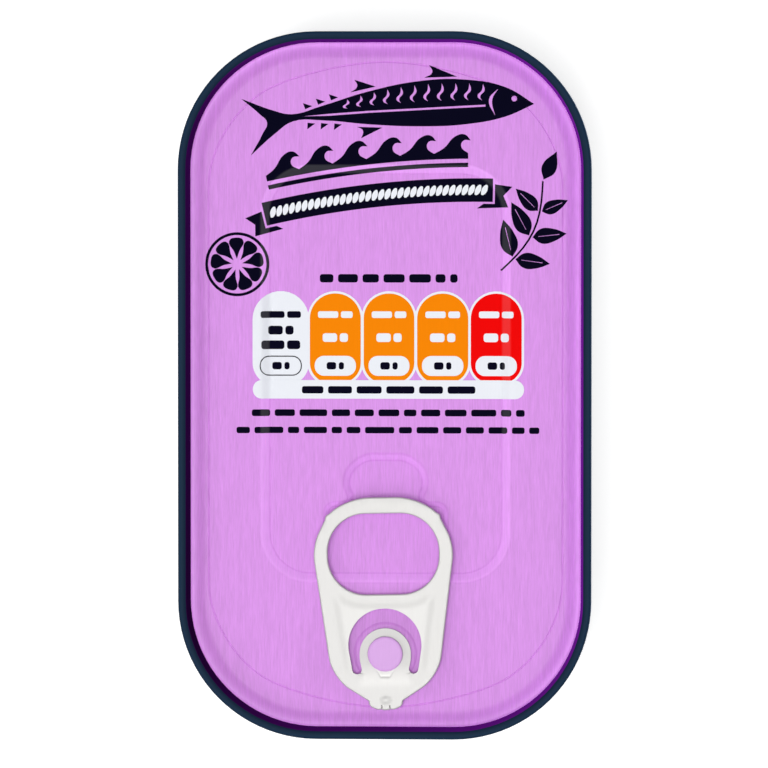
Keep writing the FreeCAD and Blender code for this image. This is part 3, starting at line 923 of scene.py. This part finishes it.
def archField():  # the five arches and their white edge as one outline
    edge, r = panel["edge"], panel["footRound"] + panel["edge"]
    meets = [(a[1] + b[0]) / 2 for a, b in zip(spans, spans[1:])]
    last, count = len(spans) - 1, panel["arcSteps"]

    def reach(cosine):  # how far round a corner goes before it meets the next arch
        return math.degrees(math.acos(min(cosine, 1)))
    lower, upper = [], []
    for i, (x0, x1) in enumerate(spans):
        cx, half, foot = (x0 + x1) / 2, (x1 - x0) / 2 + edge, panel["bottom"] - edge
        fromLeft = 0 if i == 0 else reach((cx - half + r - meets[i - 1]) / r)
        fromRight = 0 if i == last else reach((meets[i] - cx - half + r) / r)
        lower += arc(cx - half + r, foot + r, r, 180 + fromLeft, 270, count)
        lower += arc(cx + half - r, foot + r, r, 270, 360 - fromRight, count)
        fromLeft = 0 if i == 0 else reach((cx - meets[i - 1]) / half)
        fromRight = 0 if i == last else reach((meets[i] - cx) / half)
        upper.append(arc(cx, panel["top"] + edge - half, half, fromRight, 180 - fromLeft, count))
    return lower + [point for part in reversed(upper) for point in part]


def archPill(span, inset=0):
    within = panel["pillIn"] + inset
    return pill(span[0] + within, span[1] - within, panel["pillBottom"] + inset,
                panel["pillTop"] - inset, panel["pillRound"] - inset)


def makePrint():
    inkPiece("printWhiteField", [archField()], whiteInk, lifts["field"])
    arches = [pill(x0, x1, panel["bottom"], panel["top"], (x1 - x0) / 2 * panel["crown"], panel["footRound"])
              for x0, x1 in spans]
    inkPiece("printOrangeArches", arches[1:4], orangeInk, lifts["arches"])
    inkPiece("printRedArch", arches[4:], redInk, lifts["arches"])
    pills = [archPill(span) for span in spans]
    whiteMarks, darkMarks = pills[1:], []
    for i, (x0, x1) in enumerate(spans):
        middle = (x0 + x1) / 2
        marks = whiteMarks if i else darkMarks  # the first arch is white with dark marks
        for row in figures["others" if i else "first"]:
            marks += dashPair(middle, *row)
        darkMarks += dashPair(middle, *figures["pill"])
    darkMarks += [pills[0], archPill(spans[0], panel["outline"])]  # the first pill is only outlined
    bar = pill(spans[0][0] - panel["barLeft"], spans[-1][1] + panel["barRight"],
               panel["barBottom"], panel["barTop"], panel["barRound"])
    inkPiece("printWhiteMarks", [bar] + whiteMarks + ropeShapes(), whiteInk, lifts["white"])
    inkPiece("printDarkMarks", darkMarks + dashRow(*lines["bar"]), ink, lifts["dark"])
    rows = [shape for row in lines["plain"] for shape in dashRow(*row)]
    inkPiece("printLines", rows, ink, lifts["plain"])
    inkPiece("printFish", fishShapes(), ink, lifts["plain"])
    inkPiece("printWaves", waveShapes() + ribbonShapes(), ink, lifts["plain"])
    inkPiece("printLemon", lemonShapes(), ink, lifts["plain"])
    inkPiece("printSprig", sprigShapes(), ink, lifts["plain"])


makeBody()
makeLid()
print("tin made")
makeTab()
makeRivet()
print("tab made")
makePrint()
print("print made")

stage = {  # in metres
    "size": 6, "below": 0.0001, "colour": (0.8, 0.8, 0.8, 1), "roughness": 0.9, "glow": 0.6,
}


def makeStage():
    bpy.ops.mesh.primitive_plane_add(size=stage["size"])
    floor = bpy.context.object
    floor.name = "floor"
    floor.location.z = -stage["below"]  # clear of the tin's base
    material = bpy.data.materials.new("paleFloor")
    material.use_nodes = True
    tree = material.node_tree
    shader = tree.nodes["Principled BSDF"]
    shader.inputs["Base Color"].default_value = stage["colour"]
    shader.inputs["Roughness"].default_value = stage["roughness"]
    shader.inputs["Emission Color"].default_value = (1, 1, 1, 1)
    # it glows for the camera and in reflections alone, so it lights nothing
    paths = addNode(tree, "ShaderNodeLightPath")
    seen = addNode(tree, "ShaderNodeMath", operation="MAXIMUM")
    reflected = addNode(tree, "ShaderNodeMath", operation="MAXIMUM")
    glow = addNode(tree, "ShaderNodeMath", {1: stage["glow"]}, operation="MULTIPLY")
    tree.links.new(paths.outputs["Is Glossy Ray"], reflected.inputs[0])
    tree.links.new(paths.outputs["Is Transmission Ray"], reflected.inputs[1])
    tree.links.new(paths.outputs["Is Camera Ray"], seen.inputs[0])
    tree.links.new(reflected.outputs[0], seen.inputs[1])
    tree.links.new(seen.outputs[0], glow.inputs[0])
    tree.links.new(glow.outputs[0], shader.inputs["Emission Strength"])
    floor.data.materials.append(material)


light = {  # places and sizes in metres, power in watts; the sky is darker overhead than at its rim
    "sky": 0.43, "skyLow": (0.5, (1, 1, 1, 1)), "skyHigh": (0.95, (0.3, 0.3, 0.3, 1)),
    "overheadSoftbox": {"place": (-0.05, -0.12, 1.35), "size": 0.7, "power": 11.8},
    "keySoftbox": {"place": (-0.65, -0.6, 0.75), "size": 0.4, "power": 1.9},
}


def areaLight(name, place, size, power):  # square lamp turned to the tin
    data = bpy.data.lights.new(name, "AREA")
    data.shape = "RECTANGLE"
    data.size = data.size_y = size
    data.energy = power
    lamp = bpy.data.objects.new(name, data)
    lamp.location = place
    lamp.rotation_euler = (-Vector(place)).to_track_quat("-Z", "Y").to_euler()
    bpy.context.scene.collection.objects.link(lamp)


def makeLight():
    world = bpy.data.worlds.new("studio")
    world.use_nodes = True
    bpy.context.scene.world = world
    tree = world.node_tree
    coords = addNode(tree, "ShaderNodeTexCoord")
    split = addNode(tree, "ShaderNodeSeparateXYZ")
    ramp = addNode(tree, "ShaderNodeValToRGB")
    for element, key in zip(ramp.color_ramp.elements, ("skyLow", "skyHigh")):
        element.position, element.color = light[key]
    tree.links.new(coords.outputs["Generated"], split.inputs["Vector"])
    tree.links.new(split.outputs["Z"], ramp.inputs["Fac"])
    tree.links.new(ramp.outputs["Color"], tree.nodes["Background"].inputs["Color"])
    tree.nodes["Background"].inputs["Strength"].default_value = light["sky"]
    for name in ("overheadSoftbox", "keySoftbox"):
        areaLight(name, **light[name])


view = {  # distance, height and clipping in metres, leaning in degrees, aim and sensor in millimetres
    "distance": 1.05, "seenHeight": 0.11482, "leanX": 3.3, "leanY": 2.2, "aim": (-0.01, 0.3), "sensor": 36,
    "clip": (0.05, 20),
}


def makeCamera():
    data = bpy.data.cameras.new("camera")
    camera = bpy.data.objects.new("camera", data)
    data.sensor_width = view["sensor"]
    data.lens = view["sensor"] * view["distance"] / view["seenHeight"]
    data.clip_start, data.clip_end = view["clip"]
    aim = Vector((view["aim"][0] * mm, view["aim"][1] * mm, topZ * mm))
    leanX, leanY = math.radians(view["leanX"]), math.radians(view["leanY"])
    away = Vector((math.tan(leanX), math.tan(leanY), 1)).normalized()
    right = Vector((0, 1, 0)).cross(away).normalized()
    turned = Matrix((right, away.cross(right), away)).transposed().to_4x4()
    camera.matrix_world = Matrix.Translation(aim + away * view["distance"]) @ turned
    bpy.context.scene.collection.objects.link(camera)
    bpy.context.scene.camera = camera


makeStage()
makeLight()
makeCamera()
bpy.context.scene.view_settings.view_transform = "Standard"
print("stage, light and camera set")
